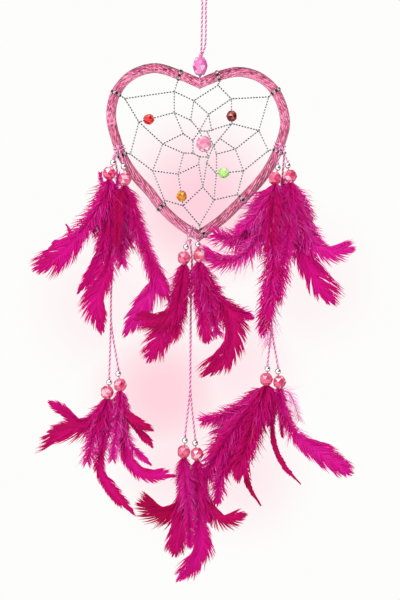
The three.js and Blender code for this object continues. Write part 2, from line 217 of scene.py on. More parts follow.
def smooth(points, step):
    """A centripetal Catmull-Rom curve through the points, one point about every step."""
    p = [Vector(q) for q in points]
    p = [2 * p[0] - p[1], *p, 2 * p[-1] - p[-2]]
    line = []
    for a, b, c, d in zip(p, p[1:], p[2:], p[3:]):
        t1 = (b - a).length ** 0.5
        t2 = t1 + (c - b).length ** 0.5
        t3 = t2 + (d - c).length ** 0.5
        parts = max(1, round((c - b).length / step))
        for i in range(parts):
            t = t1 + (t2 - t1) * i / parts
            ab, bc, cd = a.lerp(b, t / t1), b.lerp(c, (t - t1) / (t2 - t1)), c.lerp(d, (t - t2) / (t3 - t2))
            line.append(ab.lerp(bc, t / t2).lerp(bc.lerp(cd, (t - t1) / (t3 - t1)), (t - t1) / (t2 - t1)))
    return np.array([*line, p[-2]])


def tangents(line):
    """The line's direction at each of its points."""
    along = np.gradient(line, axis=0)
    return along / np.linalg.norm(along, axis=1, keepdims=True)


def lengths(line):
    """How far along the line each point lies."""
    return np.concatenate([[0], np.cumsum(np.linalg.norm(np.diff(line, axis=0), axis=1))])


def twisted(line, d, pitch, normal=(0, 1, 0), plies=2):
    """The plies of a cord laid round the line, whose plane has that normal."""
    normal = np.array(normal, float)
    side = np.cross(tangents(line), normal)
    side /= np.linalg.norm(side, axis=1, keepdims=True)
    way = lengths(line)
    turned = [2 * math.pi * (way / pitch + k / plies) for k in range(plies)]
    return [
        (line + d / 4 * (np.outer(np.cos(a), normal) + np.sin(a)[:, None] * side),
         np.full(len(line), d / 4 * PLY_SWELL), np.full(len(line), k / max(1, plies - 1)))
        for k, a in enumerate(turned)
    ]


ROUND = [(math.cos(a), math.sin(a)) for a in np.arange(6) * math.pi / 3]
HAIR = 0.01  # of the last step


def lay_strands(name, strands, section, material):
    """One mesh of strands, each (points, radii, dye), with the section across each of them. The
    section's second axis faces the front, so a flat one shows its face there."""
    rim = bpy.data.curves.new(name + "_section", "CURVE")
    outline = rim.splines.new("POLY")
    outline.points.add(len(section) - 1)
    outline.points.foreach_set("co", [v for x, y in section[::-1] for v in (x, y, 0, 1)])
    outline.use_cyclic_u = True
    rim_piece = put(name + "_section", rim)
    curve = bpy.data.curves.new(name, "CURVE")
    curve.dimensions, curve.twist_mode = "3D", "Z_UP"
    curve.bevel_mode, curve.bevel_object = "OBJECT", rim_piece
    dyes = []
    for points, radii, dye_and_painted_light in strands:
        # Each end is drawn in to a point a hair further on, which closes the strand.
        before = points[0] + (points[0] - points[1]) * HAIR
        after = points[-1] + (points[-1] - points[-2]) * HAIR
        points = np.concatenate([[before], points, [after]])
        spline = curve.splines.new("POLY")
        spline.points.add(len(points) - 1)
        co = np.ones((len(points), 4))
        co[:, 0], co[:, 1], co[:, 2] = points[:, 0], points[:, 2], -points[:, 1]
        spline.points.foreach_set("co", co.ravel())
        spline.points.foreach_set("radius", [0, *radii, 0])
        dyes += [dye_and_painted_light[0], *dye_and_painted_light, dye_and_painted_light[-1]]
    laid = put(name, curve)
    mesh = bpy.data.meshes.new_from_object(laid.evaluated_get(bpy.context.evaluated_depsgraph_get()))
    mesh.transform(Matrix.Rotation(math.pi / 2, 4, "X"))
    bpy.data.objects.remove(laid)
    bpy.data.objects.remove(rim_piece)
    dye_and_painted_light = mesh.attributes.new("dye_and_painted_light", "FLOAT", "POINT")
    dye_and_painted_light.data.foreach_set("value", np.repeat(dyes, len(section)).astype(np.float32))
    bm = bmesh.new()
    bm.from_mesh(mesh)
    bmesh.ops.remove_doubles(bm, verts=bm.verts, dist=1e-8)
    bm.to_mesh(mesh)
    bm.free()
    mesh.shade_smooth()
    mesh.materials.clear()
    mesh.materials.append(material)
    return put(name, mesh)


def joined(name, *pieces):
    """One object made of several, with the first one's material."""
    bm = bmesh.new()
    for piece in pieces:
        bm.from_mesh(piece.data)
    mesh = pieces[0].data.copy()
    bm.to_mesh(mesh)
    bm.free()
    for piece in pieces:
        bpy.data.objects.remove(piece)
    return put(name, mesh)


def dyed(name, stops, roughness, **sockets):
    """A fibre whose colour runs through the stops with each strand's value of dyeing and painted light."""
    material = bpy.data.materials.new(name)
    material.use_nodes = True
    tree = material.node_tree
    shader = tree.nodes["Principled BSDF"]
    ramp = add(tree, "ShaderNodeValToRGB", {
        "Fac": add(tree, "ShaderNodeAttribute", attribute_name="dye_and_painted_light").outputs["Fac"]})
    while len(ramp.color_ramp.elements) < len(stops):
        ramp.color_ramp.elements.new(0.5)
    for element, (position, code) in zip(ramp.color_ramp.elements, stops):
        element.position, element.color = position, linear(code)
    tree.links.new(ramp.outputs[0], shader.inputs["Base Color"])
    shader.inputs["Roughness"].default_value = roughness
    for socket, value in sockets.items():
        shader.inputs[socket.replace("_", " ")].default_value = value
    return material, tree, shader, ramp


# Twisted rayon: a soft sheen on each ply, and fine filaments across it every 0.25 mm.
rayon, tree, shader, _ = dyed("twisted_pink_rayon_cord", list(enumerate(PLY_COLOURS_WITH_PAINTED_SHADE)), 0.55,
                              Sheen_Weight=0.3, Specular_IOR_Level=0.4)
filament = add(tree, "ShaderNodeTexNoise", {
    "Vector": add(tree, "ShaderNodeTexCoord").outputs["Object"], "Scale": 4000.0, "Detail": 1.0})
tree.links.new(add(tree, "ShaderNodeBump", {
    "Height": filament.outputs[0], "Strength": 0.25, "Distance": 0.1 * MM,
}).outputs[0], shader.inputs["Normal"])


def overhand(centre, size):
    """An overhand knot of the cord, about size across."""
    t = np.linspace(0, 2 * math.pi, 30)
    turn = np.stack([np.sin(t) + 2 * np.sin(2 * t), 0.9 * -np.sin(3 * t), np.cos(t) - 2 * np.cos(2 * t)], 1)
    return (np.array(centre) + turn * size / 7.2, np.full(30, size * 0.2), np.linspace(0, 1, 30))


KNOT_X, KNOT_Z = -3.1, -50.2  # mm
HANG_KNOT = 2.7 * MM
hang_route = smooth([
    (KNOT_X - 0.6, 0, KNOT_Z), (KNOT_X + 0.2, 0, -48), (-2.7, 0, -44), (-2.4, 0, -28), (-2.2, 0, -14),
    (-3.7, 0, -6.18), (-4.3, 0, -3.6), (-3.01, 0, -0.59), (0, 0, 0.7), (3.01, 0, -0.59), (4.3, 0, -3.6),
    (3.7, 0, -6.18), (0.6, 0, -14), (0.3, 0, -28), (-0.3, 0, -44), (-1.5, 0, -48), (KNOT_X + 0.6, 0, KNOT_Z),
], CORD_STEP) * MM
hanging = lay_strands("hanging_cord_plies", twisted(hang_route, CORD_D, CORD_PITCH), ROUND, rayon)
tied_at = (KNOT_X * MM, 0, KNOT_Z * MM)
hang_knot = lay_strands("hanging_cord_knot", [overhand(tied_at, HANG_KNOT)], ROUND, rayon)
for piece in (hanging, hang_knot):
    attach(piece, "hanger")
    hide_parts("hanging_cord")

# ---- three long cords ----
# Each is one length of the same cord, hitched round the frame behind the short tassels. It hangs
# from a knot under the hitch as two strands, each of which stops in a knot over a silver ball.
LONG_CORDS = {
    # start under the frame, then x and z from there down, in mm
    "left": [(-60.78, -115.1), (1.8, -13.8), (0.3, -54.8), (-2.1, -91.8), (-2.3, -112)],
    "bottom": [(-10.5, -171.61), (1.3, -12.4), (0.7, -43.4), (0.5, -73.4), (0.3, -100)],
    "right": [(52.68, -113.17), (-1.4, -18.9), (-4.3, -56.9), (-8.5, -99.9), (-8.6, -118)],
}
RING_AT = {
    # centre of the cord's ring round the frame, and the frame's direction there
    "left": ((-57.12, 0, -113.64), (0.3775, 0, -0.926)),
    "bottom": ((-8.563, 0, -168.19), (0.8751, 0, -0.484)),
    "right": ((48.997, 0, -111.77), (-0.3467, 0, -0.938)),
}
FRAME_R = 3.25 * MM
LONG_Y = 1.6  # mm behind the heart's middle
BALL_R = 2.0 * MM


def middle_of(node):
    """The centre of a CAD node."""
    low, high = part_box(node)
    return (low + high) / 2


def ring_round_frame(centre, along, d, pitch, turns=1, step=CORD_STEP * MM):
    """Turns of cord wound round the frame, side by side."""
    along = Vector(along).normalized()
    across = Vector((0, 1, 0)).cross(along)
    radius = FRAME_R + d / 2
    strands = []
    for k in range(turns):
        c = Vector(centre) + along * d * (k - (turns - 1) / 2)
        n = max(24, int(2 * math.pi * radius / step))
        circle = np.array([c + radius * (across * math.cos(a) + Vector((0, 1, 0)) * math.sin(a))
                           for a in np.linspace(0, 2 * math.pi, n)])
        strands += twisted(circle, d, pitch, normal=along)
    return strands


TIGHT_D = 1.0 * MM  # the cord where it is pulled tight round the frame
EYE_DOWN = 2.2  # mm from the hitch's underside to the knot that the long cord swings on
EYE_KNOT, END_KNOT = 2.4 * MM, 1.7 * MM
for site, (start, *below) in LONG_CORDS.items():
    balls = [middle_of(f"{site}_lower_{side}_silver_bead") for side in "ab"]
    for k, ball in enumerate(balls):
        ply = Vector((0.1 if k else -0.1, -0.7 if k else 0.7, 0))
        route = smooth(
            [Vector((start[0], LONG_Y, start[1] - EYE_DOWN))]
            + [Vector((start[0] + x, LONG_Y, start[1] + z)) + ply for x, z in below]
            + [Vector(ball) / MM + Vector((0, 0, 2.8))], CORD_STEP) * MM
        strand = lay_strands(f"{site}_long_cord_{'ab'[k]}", twisted(route, CORD_D, CORD_PITCH), ROUND, rayon)
        end_knot = lay_strands(f"{site}_long_cord_{'ab'[k]}_knot",
                               [overhand(ball + Vector((0, 0, BALL_R + 0.8 * MM)), END_KNOT)], ROUND, rayon)
        for piece in (strand, end_knot):
            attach(piece, site + "_drop")
            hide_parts(site + "_drop_cord")
    centre, along = RING_AT[site]
    eye = Vector((start[0], LONG_Y, start[1] - EYE_DOWN)) * MM
    knot = lay_strands(site + "_long_cord_knot", [overhand(eye, EYE_KNOT)], ROUND, rayon)
    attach(knot, site + "_drop")
    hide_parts(site + "_drop_cord")
    hitch = lay_strands(site + "_long_cord_hitch",
                        ring_round_frame(Vector(centre) * MM, along, TIGHT_D, CORD_PITCH), ROUND, rayon)
    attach(hitch, "heart")
    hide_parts(site + "_hitch")

# ---- top bead ----
# An oval of pink acrylic, moulded with flat facets and coated so that it flashes violet, threaded
# on the cord. It has a bore down its length.


def threaded_bead(name, node, axis, length, sides, rows, bore, material, faceted=True, ends=0.45, grow=1.0):
    """A bead about the node's middle, spun from its half section round the bore. Every second ring of a
    faceted one is turned half a facet, and each facet keeps a random tone of its own, which an acrylic bead's
    material paints as painted shade or a painted highlight on that facet."""
    low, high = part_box(node)
    centre, r = (low + high) / 2, (high.y - low.y) / 2 * grow
    h = length / 2
    bm = bmesh.new()
    top = math.acos(ends)
    section = [(r * math.cos(a), h * math.sin(a) / math.sin(top)) for a in np.linspace(-top, top, rows)]
    section = [(bore / 2, -h), *section, (bore / 2, h)]
    verts = [bm.verts.new((x, 0, z)) for x, z in section]
    edges = [bm.edges.new(pair) for pair in zip(verts, verts[1:] + verts[:1])]
    bmesh.ops.spin(bm, geom=verts + edges, cent=(0, 0, 0), axis=(0, 0, 1), angle=2 * math.pi, steps=sides,
                   use_merge=True)
    bmesh.ops.remove_doubles(bm, verts=bm.verts, dist=1e-6)
    if faceted:
        for x, z in section[2:-2:2]:
            ring = [v for v in bm.verts if abs(v.co.z - z) < 1e-7 and v.co.xy.length > 0.9 * x]
            bmesh.ops.rotate(bm, verts=ring, cent=(0, 0, 0), matrix=Matrix.Rotation(math.pi / sides, 3, "Z"))
        bmesh.ops.triangulate(bm, faces=bm.faces)
    bmesh.ops.recalc_face_normals(bm, faces=bm.faces)
    turn = Vector((0, 0, 1)).rotation_difference(Vector(axis))
    bmesh.ops.transform(bm, verts=bm.verts, matrix=Matrix.Translation(centre) @ turn.to_matrix().to_4x4())
    tone = bm.faces.layers.float.new("facet")
    rng = random.Random(node)
    for face in sorted(bm.faces, key=lambda f: [round(c, 6) for c in f.calc_center_median()]):
        face[tone] = rng.random()  # drawn from place to place, so that it is the same in every run
    mesh = bpy.data.meshes.new(name)
    bm.to_mesh(mesh)
    bm.free()
    if not faceted:
        mesh.shade_smooth()
    mesh.materials.append(material)
    return put(name, mesh)


def acrylic(name, deep, code, painted_highlight, film=0.0, clear=0.3):
    """Moulded clear acrylic. Each facet's random tone paints it deep, plain or flashing, as painted shade and
    painted highlight for the light bent inside it, and flow marks some 3 mm long cloud the colour a little."""
    material = bpy.data.materials.new(name)
    material.use_nodes = True
    tree = material.node_tree
    shader = tree.nodes["Principled BSDF"]
    flow = add(tree, "ShaderNodeTexNoise", {
        "Vector": add(tree, "ShaderNodeTexCoord").outputs["Object"], "Scale": 330.0, "Detail": 2.0})
    facet = add(tree, "ShaderNodeAttribute", attribute_name="facet")
    tone = add(tree, "ShaderNodeMath", {0: flow.outputs[0], 1: 0.25, 2: facet.outputs["Fac"]},
               operation="MULTIPLY_ADD")
    ramp = add(tree, "ShaderNodeValToRGB", {"Fac": tone.outputs[0]})
    ramp.color_ramp.elements.new(0.5)
    ramp.color_ramp.elements.new(0.9)
    stops = [(0.3, deep), (0.55, code), (0.95, code), (1.0, painted_highlight)]
    for element, (position, shade) in zip(ramp.color_ramp.elements, stops):
        element.position, element.color = position, linear(shade)
    tree.links.new(ramp.outputs[0], shader.inputs["Base Color"])
    for socket, value in [
        ("Roughness", 0.04), ("IOR", 1.49), ("Transmission Weight", clear), ("Coat Weight", 0.6),
        ("Coat Roughness", 0.03), ("Thin Film Thickness", film), ("Thin Film IOR", 1.7),
    ]:
        shader.inputs[socket].default_value = value
    return material


TOP_BEAD_LENGTH = 11.6 * MM
BEAD_GROWS = 1.12  # its facets lie about level with the CAD bead, and its edges stand proud
# Its three colours are the facets' painted shade, plain colour and painted highlight.
coated = acrylic("pink_coated_acrylic", "#f24aac", "#fa88d6", "#ffdcf4", film=420.0)
top_bead = threaded_bead("top_bead_faceted", "top_bead", (0, 0, 1), TOP_BEAD_LENGTH, 8, 5, 2.6 * MM, coated,
                         ends=0.55, grow=BEAD_GROWS)
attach(top_bead, "top_bead")
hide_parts("top_bead")

# ---- heart frame ----
# A 3 mm steel wire bent to a heart, and floss laid round it on a long slow twist so that its
# strands show as fine slanting lines. Its ends meet at the notch and at the tip.
HEART_LEAN = math.radians(0.5)  # how far it hangs from upright
HEART_AT = (-3.7, -69.0)  # the notch, mm
LEFT_HALF = [
    (0, 0), (-13.5, 5.5), (-30.5, 10), (-46.5, 4.5), (-56.5, -8), (-59, -22.5), (-55.5, -38),
    (-51, -49.5), (-43, -61.5), (-32.5, -73), (-25, -82.5), (-12.5, -94), (0, -101.5),
]
RIGHT_HALF = [
    (0, 0), (12, 5), (26.5, 8), (40.5, 4), (51, -6), (57, -24.5), (54.5, -38), (49, -51.5),
    (42, -62.5), (29, -77), (14, -91.5), (0, -101.5),
]
FLOSS_STRANDS = 42
FLOSS_D = 0.56 * MM
FLOSS_PITCH = 95 * MM
FRAME_STEP = 1.2 * MM  # from point to point along the frame


def on_heart(x, z):
    """A point of the heart's own plane, in mm from the notch, in the row frame."""
    c, s = math.cos(HEART_LEAN), math.sin(HEART_LEAN)
    return Vector((x * c + z * s + HEART_AT[0], 0, -x * s + z * c + HEART_AT[1])) * MM


halves = {side: smooth([on_heart(*p) for p in points], FRAME_STEP)
          for side, points in (("left", LEFT_HALF), ("right", RIGHT_HALF))}
wound = []
rng = random.Random(4)
for side, line in halves.items():
    # Run past both ends, then trimmed on the heart's middle plane.
    t = tangents(line)
    reach = np.arange(1, 6)[:, None] * FRAME_STEP
    line = np.concatenate([line[0] - reach[::-1] * t[0], line, line[-1] + reach * t[-1]])
    t = tangents(line)
    way = lengths(line)
    out = np.cross(t, (0, 1, 0))
    strands = [(line, np.full(len(line), FRAME_R - FLOSS_D * 0.75), np.full(len(line), 0.45))]
    # On the curved shoulders the turns lie close and cross the frame, and on the straight sides
    # they are stretched along it. Loosely spun strands are flecked all along.
    spots = np.arange(0, way[-1] + 3 * MM, FRAME_STEP)
    turns = np.interp(way, spots, [rng.gauss(0, 0.1) for _ in spots])
    shoulder = np.clip((0.6 * way[-1] - way) / (0.12 * way[-1]), 0, 1)
    for k in range(FLOSS_STRANDS):
        hand = 1 if side == "left" else -1
        a = 2 * math.pi * k / FLOSS_STRANDS + hand * 2 * math.pi * way / FLOSS_PITCH
        r = FRAME_R - FLOSS_D / 2 + rng.uniform(-0.06, 0.06) * MM
        fleck = np.interp(way, spots, [rng.gauss(0, 0.34) for _ in spots])
        # The tone is partly painted. Strands on the frame's upper side are darker, as painted shade, and
        # those on its underside lighter, as painted light, with a thin darker line along the very bottom. The
        # strands also run in threes of lighter, plain and darker tone, the darker ones as painted shade in
        # the gaps between strands.
        facing_up = np.sin(a) * out[:, 2]
        shade = (0.56 + fleck + turns * shoulder + (0.22, 0.08, -0.4)[k % 3] * (1 - 0.6 * shoulder)
                 - 0.3 * facing_up - 0.3 * (facing_up > 0.8) - 0.35 * (facing_up < -0.93))
        strands.append((line + r * (np.cos(a)[:, None] * np.array((0, 1, 0)) + np.sin(a)[:, None] * out),
                        np.full(len(line), FLOSS_D / 2 * 1.1), shade))
    wound.append((side, strands))

floss, tree, shader, ramp = dyed("dusty_pink_wound_floss", [
    (0.0, "#560f2a"), (0.3, "#a23660"), (0.6, "#cb5d86"), (1.0, "#f0a0bf")], 0.5,
    Sheen_Weight=0.3, Sheen_Roughness=0.4, Specular_IOR_Level=0.4)
fleck = add(tree, "ShaderNodeTexNoise", {
    "Vector": add(tree, "ShaderNodeTexCoord").outputs["Object"], "Scale": 1100.0, "Detail": 2.0,
    "Roughness": 0.7})
flecked = add(tree, "ShaderNodeMix", {
    "Factor": add(tree, "ShaderNodeMapRange", {
        "Value": fleck.outputs[0], "From Min": 0.55, "From Max": 0.7, "To Max": 0.6}).outputs[0],
    "A": ramp.outputs[0], "B": linear("#7c2246")}, data_type="RGBA")
tree.links.new(flecked.outputs["Result"], shader.inputs["Base Color"])
tree.links.new(add(tree, "ShaderNodeBump", {
    "Height": fleck.outputs[0], "Strength": 0.4, "Distance": 0.15 * MM}).outputs[0], shader.inputs["Normal"])

sides = []
for side, strands in wound:
    half = lay_strands(side + "_half", strands, ROUND, floss)
    bm = bmesh.new()
    bm.from_mesh(half.data)
    normal = Vector((math.cos(HEART_LEAN), 0, -math.sin(HEART_LEAN))) * (1 if side == "left" else -1)
    made = bmesh.ops.bisect_plane(bm, geom=[*bm.verts, *bm.edges, *bm.faces], plane_co=on_heart(0, 0),
                                  plane_no=normal, clear_outer=True)
    cut_edges = [g for g in made["geom_cut"] if isinstance(g, bmesh.types.BMEdge)]
    bmesh.ops.holes_fill(bm, edges=cut_edges, sides=0)
    bm.to_mesh(half.data)
    bm.free()
    sides.append(half)
wrap = joined("frame_floss", *sides)
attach(wrap, "heart")
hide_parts("frame_wrap")

# The bare wire inside: drawn steel, with faint lines round it every 0.4 mm.
steel = bpy.data.materials.new("drawn_steel_wire")
steel.use_nodes = True
tree = steel.node_tree
shader = tree.nodes["Principled BSDF"]
for socket, value in [("Base Color", linear("#9a9a9e")), ("Metallic", 1.0)]:
    shader.inputs[socket].default_value = value
drawn = add(tree, "ShaderNodeTexNoise", {
    "Vector": add(tree, "ShaderNodeTexCoord").outputs["Object"], "Scale": 2500.0})
tree.links.new(add(tree, "ShaderNodeMapRange", {
    "Value": drawn.outputs[0], "To Min": 0.25, "To Max": 0.45}).outputs[0], shader.inputs["Roughness"])
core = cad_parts["frame_core"]
core.data.materials.clear()
core.data.materials.append(steel)

# ---- tie at the notch ----
# One turn of pink cord round the frame at the notch, knotted, with its end up inside the top bead.
NOTCH_TIE_R = 3.9 * MM
notch = on_heart(0, 0)
circle = np.array([
    notch + Vector((0, math.sin(a) * (FRAME_R + 0.5 * MM), math.cos(a) * NOTCH_TIE_R))
    for a in np.linspace(0, 2 * math.pi, 70)])
rise = smooth([on_heart(0, 3.6), on_heart(0, 7), on_heart(0.1, 11)], CORD_STEP * MM)
tie = lay_strands("notch_tie", [
    *twisted(circle, 0.8 * MM, CORD_PITCH, normal=(1, 0, 0)), *twisted(rise, 1.2 * MM, CORD_PITCH),
    overhand(on_heart(0, 5.2), 2.0 * MM)], ROUND, rayon)
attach(tie, "heart")
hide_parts("top_tie")

# ---- web ----
# Metallised silver thread of two plies twisted together, looped round the frame at nine places
# and knotted where its rounds cross. Each loop is two turns side by side.
THREAD_D = 0.95 * MM
THREAD_PITCH = 2.3 * MM  # drawn a little coarser than the real 1.5 mm, so that its painted glints show
LOOP_PITCH = 4.2 * MM  # one painted glint and one dark stretch of a loop round the frame
WEB_KNOT = 1.35 * MM
ANCHORS = {
    # x, z, the way the lead runs in degrees, and the lead from the frame's surface to its knot
    "n1": (-56, -7, -30, 3.7), "n2": (-13.5, 5.5, -108, 8.3), "n3": (12, 5, -90, 2.8),
    "n4": (51, -5, -145, 2.9), "n5": (51, -45, 174, 1.8), "n6": (29, -76.5, 144, 1.1),
    "n7": (2.8, -99.6, 114, 2.3), "n8": (-25, -82, 63, 1.2), "n9": (-51, -48, 6, 1.8),
}
KNOTS = {
    "m1": (-4, -11.5), "m2": (21, -10), "m3": (39.5, -31), "m4": (29.5, -58), "m5": (10, -77.5),
    "m6": (-10.5, -81.5), "m7": (-31, -58.5), "m8": (-40.5, -26),
    "p1": (-17, -19.5), "p2": (6, -20.5), "p3": (21.5, -26.5), "p4": (24, -43.5), "p5": (11.5, -60),
    "p6": (2.5, -69), "p7": (-14, -60.5), "p8": (-24.5, -40.5),
    "q1": (-6, -24.5), "q2": (8, -31), "q3": (13.5, -36.5), "q4": (11.5, -47), "q5": (5, -53),
    "q6": (-0.5, -54), "q7": (-10.5, -46.5), "q8": (-11, -33.5),
    "r1": (0, -31.5), "r2": (5, -31.8), "r3": (9.5, -41.5), "r4": (6, -49), "r5": (0, -48.8),
    "r6": (-4.2, -46.5), "r7": (-4.4, -38),
}
STRANDS = """
n1-n2 n2-m1 m1-n3 n3-m2 m2-n4 n4-m3 m3-n5 n5-m4 m4-n6 n6-m5 m5-n7 n7-m6 m6-n8 n8-m7 m7-n9 n9-m8 m8-n1
n2-p1 m8-p1 p1-q1 p1-q8 m1-q1 m1-p2 p2-m2 p2-r1 p2-q2 q1-r1 m2-p3 p3-q2 p3-m3 p3-q3 q2-r2 q3-r3 q3-p4
p4-m3 p4-m4 p4-q4 q4-r3 q4-p5 p5-q5 p5-m4 p5-m5 m5-p6 p6-m6 p6-q5 p6-q6 q6-p7 p7-m7 p7-m6 p7-q7 q7-p8
q7-r6 p8-m7 p8-m8 p8-q8 q8-r7 q5-r4 q6-r5 r1-r2 r2-r3 r3-r4 r4-r5 r5-r6 r6-r7 r7-r1 r1-r4
"""
for name, (x, z, angle, lead) in ANCHORS.items():
    reach = FRAME_R / MM + lead
    KNOTS[name] = (x + reach * math.cos(math.radians(angle)), z + reach * math.sin(math.radians(angle)))

thread = []


def paint_glints(plies, level, pitch=THREAD_PITCH):
    """The flat metal strip round the thread turns its bright side to the front once a twist, and this is
    painted into its colour as a painted glint. A thread that runs level is painted dark and an upright one
    light, as painted reflection of the dark and the light of the room."""
    for points, radii, _ in plies:
        bright = 0.5 + 0.5 * np.clip(2.2 * np.sin(2 * math.pi * lengths(points) / pitch), -1, 1)
        low, high = (0.0, 0.95) if level > 0.5 else (0.3, 1.0)
        thread.append((points, radii * (1.1 - 0.5 * bright), low + (high - low) * bright))


def run_thread(a, b):
    n = max(4, int((b - a).length / (THREAD_PITCH / 7)))
    line = np.array([a.lerp(b, i / n) for i in range(n + 1)])
    paint_glints(twisted(line, THREAD_D, THREAD_PITCH), abs((b - a).normalized().x))


for pair in STRANDS.split():
    a, b = (on_heart(*KNOTS[k]) for k in pair.split("-"))
    run_thread(a, b)
for x, z in KNOTS.values():
    points, radii, tone = overhand(on_heart(x, z), WEB_KNOT)
    thread.append((points, radii * 0.8, tone * 0.4))
for name, (x, z, angle, lead) in ANCHORS.items():
    line = halves["left" if x < 0 else "right"]
    i = int(np.argmin(np.linalg.norm(line - np.array(on_heart(x, z)), axis=1)))
    along = Vector(tangents(line)[i])
    loop = ring_round_frame(Vector(line[i]), along, THREAD_D, THREAD_PITCH, turns=2, step=0.3 * MM)
    paint_glints(loop, 1.0, LOOP_PITCH)
    edge = on_heart(*KNOTS[name]) - Vector(line[i])
    edge = (edge - along * edge.dot(along)).normalized() * (FRAME_R + THREAD_D / 2)
    run_thread(Vector(line[i]) + edge, on_heart(*KNOTS[name]))

# Metallised thread: polyester film strips round a dark core, with a hard glint that is painted into its
# colour as painted highlight and painted reflection.
metallised, tree, shader, _ = dyed("silver_metallised_thread", [
    (0.0, "#0c0a10"), (0.5, "#9a98a0"), (1.0, "#ffffff")], 0.3)
shader.inputs["Metallic"].default_value = 0.4
glint = add(tree, "ShaderNodeTexNoise", {
    "Vector": add(tree, "ShaderNodeTexCoord").outputs["Object"], "Scale": 1500.0})
tree.links.new(add(tree, "ShaderNodeMapRange", {
    "Value": glint.outputs[0], "To Min": 0.15, "To Max": 0.5}).outputs[0], shader.inputs["Roughness"])
# The thread's section is a square on its corner, which the twist turns into short flats.
SQUARE = [(0.95 * math.cos(a), 0.95 * math.sin(a)) for a in np.arange(4) * math.pi / 2]
web = lay_strands("web_thread", thread, SQUARE, metallised)
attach(web, "heart")
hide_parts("web")

# ---- beads on the web ----
# Round faceted acrylic beads threaded on five of the strands, each in its own colour.
# The last three colours of each bead are its facets' painted shade, plain colour and painted highlight.
for colour, ends, deep, code, painted_highlight in [
    ("red", ("m8", "p1"), "#b00414", "#e0141f", "#ff6a55"),
    ("garnet", ("m2", "p3"), "#640a0c", "#8e1a14", "#b8402c"),
    ("green", ("p5", "m4"), "#9ee45c", "#c2f686", "#f4ffe2"),
    ("orange", ("p7", "m6"), "#c46a04", "#ee950f", "#ffd070"),
    ("centre", ("r1", "r4"), "#f284b0", "#fbacca", "#fff2f7"),
]:
    node = "bead_" + colour
    low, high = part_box(node)
    a, b = (on_heart(*KNOTS[k]) for k in ends)
    material = acrylic(colour + "_acrylic", deep, code, painted_highlight)
    bead = threaded_bead(node + "_faceted", node, (b - a).normalized(), 1.05 * (high.y - low.y),
                         7, 5, 1.5 * MM, material, grow=BEAD_GROWS)
    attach(bead, colour + "_bead")
    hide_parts(node)

# ---- ties of the short tassels ----
# A short doubled cord round the frame at each side and at the tip, knotted on the frame's front,
# with one silver ball on each of its two ends.
SHORT_TIES = {
    # the knot on the frame's front, mm
    "left": (-57.86, -6.25, -111.68), "bottom": (-10.39, -6.25, -167.15), "right": (49.71, -6.25, -109.8),
}
SHORT_UP = 2.1  # mm, the short cord's ring is this far up the frame from the long cord's
SHORT_KNOT, BALL_KNOT = 2.3 * MM, 1.6 * MM
for site, tie_at in SHORT_TIES.items():
    centre, along = RING_AT[site]
    ring_at = (Vector(centre) - Vector(along) * SHORT_UP) * MM
    knot_at = Vector(tie_at) * MM
    strands = ring_round_frame(ring_at, along, TIGHT_D, CORD_PITCH)
    strands.append(overhand(knot_at + Vector((0, 1.0 * MM, 0)), SHORT_KNOT))
    for side in "ab":
        ball = middle_of(f"{site}_upper_{side}_silver_bead")
        top = ball + Vector((0, 0, BALL_R + 0.4 * MM))
        bow = knot_at.lerp(top, 0.5) + Vector((0, -0.4 * MM, -0.2 * MM))
        strands += twisted(smooth([knot_at, bow, top], CORD_STEP * MM), TIGHT_D, CORD_PITCH)
        strands.append(overhand(top + Vector((0, 0, 0.4 * MM)), BALL_KNOT))
    cords = lay_strands(site + "_short_cords", strands, ROUND, rayon)
    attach(cords, "heart")
    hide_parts(site + "_upper_cord")

# ---- silver balls and pink beads ----
# Over each bunch of plumes sits a faceted pink acrylic bead, and over that a small metallised
# plastic ball, both threaded on the tassel's own cord.
BALL_LENGTH, TASSEL_BEAD_LENGTH = 4.0 * MM, 8.4 * MM
chrome = bpy.data.materials.new("metallised_plastic_ball")
chrome.use_nodes = True
tree = chrome.node_tree
shader = tree.nodes["Principled BSDF"]
for socket, value in [("Base Color", linear("#f2f2f5")), ("Metallic", 1.0)]:
    shader.inputs[socket].default_value = value
dull = add(tree, "ShaderNodeTexNoise", {
    "Vector": add(tree, "ShaderNodeTexCoord").outputs["Object"], "Scale": 900.0, "Detail": 3.0})
tree.links.new(add(tree, "ShaderNodeMapRange", {
    "Value": dull.outputs[0], "To Min": 0.02, "To Max": 0.14}).outputs[0], shader.inputs["Roughness"])
# Its three colours are the facets' painted shade, plain colour and painted highlight.
bead_pink = acrylic("pink_moulded_acrylic", "#da205e", "#f96c9a", "#ffd2e0", clear=0.35)
TASSELS = [f"{site}_{level}_{side}" for site in LONG_CORDS for level in ("upper", "lower") for side in "ab"]
for tassel in TASSELS:
    ball = threaded_bead(tassel + "_silver_ball", tassel + "_silver_bead", (0, 0, 1), BALL_LENGTH, 20, 12,
                         1.0 * MM, chrome, faceted=False, ends=0.3)
    bead = threaded_bead(tassel + "_pink_faceted_bead", tassel + "_pink_bead", (0, 0, 1),
                         TASSEL_BEAD_LENGTH, 7, 5, 1.4 * MM, bead_pink, grow=BEAD_GROWS)
    core_at = middle_of(tassel + "_pink_bead")
    stem = smooth([middle_of(tassel + "_silver_bead") - Vector((0, 0, 1.9 * MM)),
                   core_at + Vector((0, 0, 3.2 * MM)), core_at - Vector((0, 0, 4.6 * MM))], CORD_STEP * MM)
    cord = lay_strands(tassel + "_threading", twisted(stem, 0.9 * MM, 2 * MM), ROUND, rayon)
    for piece, node, slot_name in [(ball, "_silver_bead", "silver_beads"), (bead, "_pink_bead", "pink_beads"),
                                   (cord, "_pink_bead", "cord")]:
        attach(piece, tassel + "_tassel")
        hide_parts(tassel + node)

